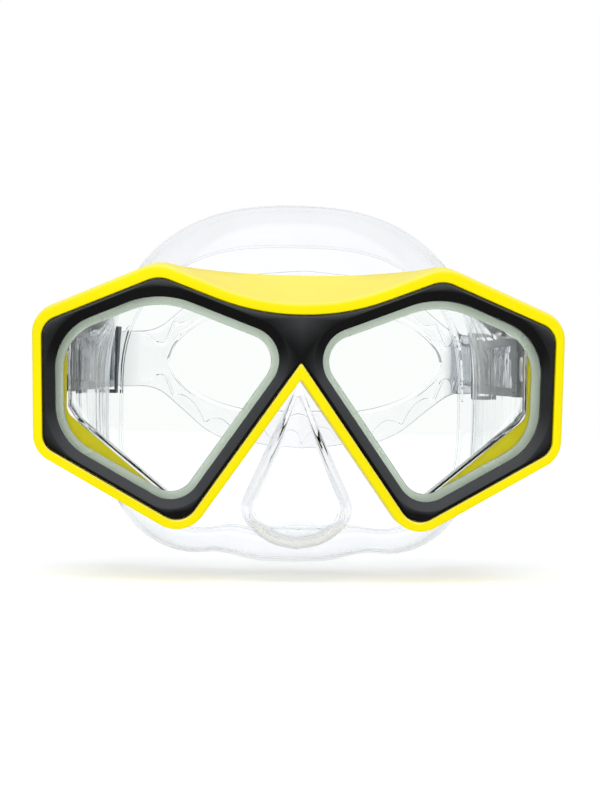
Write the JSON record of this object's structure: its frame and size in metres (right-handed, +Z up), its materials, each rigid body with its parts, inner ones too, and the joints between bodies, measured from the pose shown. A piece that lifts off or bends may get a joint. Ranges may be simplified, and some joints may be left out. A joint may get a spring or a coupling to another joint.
{
  "type": "snorkel mask",
  "caption": "Two-window snorkelling mask with rigid frame, flat glass, clear silicone skirt with nose pocket, and a split head strap held by swivelling quick-adjust buckles.",
  "frame": {"origin": "middle of the plane where the sides of the face seal end, level with the middle of the windows", "axes": "+X to the wearer's left, +Y from the glass back towards the face, +Z up"},
  "size_m": [0.1676, 0.1275, 0.12],
  "materials": {
    "yellow_plastic": "smooth satin-gloss injection moulding, opaque lemon yellow",
    "charcoal_plastic": "fine satin texture, charcoal black",
    "clear_silicone": "translucent colourless liquid silicone, smooth and glossy",
    "strap_silicone": "translucent colourless silicone with moulded ribs and relief",
    "toughened_glass": "clear flat toughened glass, polished",
    "smoke_plastic": "smoke grey moulded plastic, slightly glossy",
    "dark_plastic": "dark grey satin moulded plastic",
    "pin_steel": "plain stainless steel wire and pins"
  },
  "bodies": {
    "mask_body": {"main_frame": "yellow_plastic", "front_bezel": "charcoal_plastic", "skirt": "clear_silicone", "lens_left": "toughened_glass", "lens_right": "toughened_glass", "pivot_pin_left": "pin_steel", "pivot_pin_right": "pin_steel", "pivot_washer_left": "smoke_plastic", "pivot_washer_right": "smoke_plastic"},
    "strap_assembly": {"head_strap": "strap_silicone", "buckle_body_left": "smoke_plastic", "buckle_body_right": "smoke_plastic", "roller_axle_left": "pin_steel", "roller_axle_right": "pin_steel", "lever_pin_left": "pin_steel", "lever_pin_right": "pin_steel", "lever_spring_left": "pin_steel", "lever_spring_right": "pin_steel", "strap_keeper_left": "dark_plastic", "strap_keeper_right": "dark_plastic"},
    "roller_left": {"strap_roller_left": "smoke_plastic"},
    "roller_right": {"strap_roller_right": "smoke_plastic"},
    "lever_left": {"release_lever_left": "smoke_plastic"},
    "lever_right": {"release_lever_right": "smoke_plastic"}
  },
  "joints": [
    {"name": "strap_swing", "type": "hinge", "parent": "mask_body", "child": "strap_assembly", "pos_m": [0, -0.039, 0.008], "axis": [1, 0, 0], "range_deg": [-60, 75]},
    {"name": "release_lever_left", "type": "hinge", "parent": "strap_assembly", "child": "lever_left", "pos_m": [0.07925, -0.00727, 0.00938], "axis": [0, -0.0436, 0.999], "range_deg": [0, 15], "stiffness_Nm_per_rad": 0.05, "springref_deg": -11.46},
    {"name": "strap_roller_left", "type": "hinge", "parent": "strap_assembly", "child": "roller_left", "pos_m": [0.07626, -0.02232, 0.00873], "axis": [0, -0.0436, 0.999], "continuous": true},
    {"name": "release_lever_right", "type": "hinge", "parent": "strap_assembly", "child": "lever_right", "pos_m": [-0.07925, -0.00727, 0.00938], "axis": [0, 0.0436, -0.999], "range_deg": [0, 15], "stiffness_Nm_per_rad": 0.05, "springref_deg": -11.46},
    {"name": "strap_roller_right", "type": "hinge", "parent": "strap_assembly", "child": "roller_right", "pos_m": [-0.07626, -0.02232, 0.00873], "axis": [0, 0.0436, -0.999], "continuous": true}
  ]
}
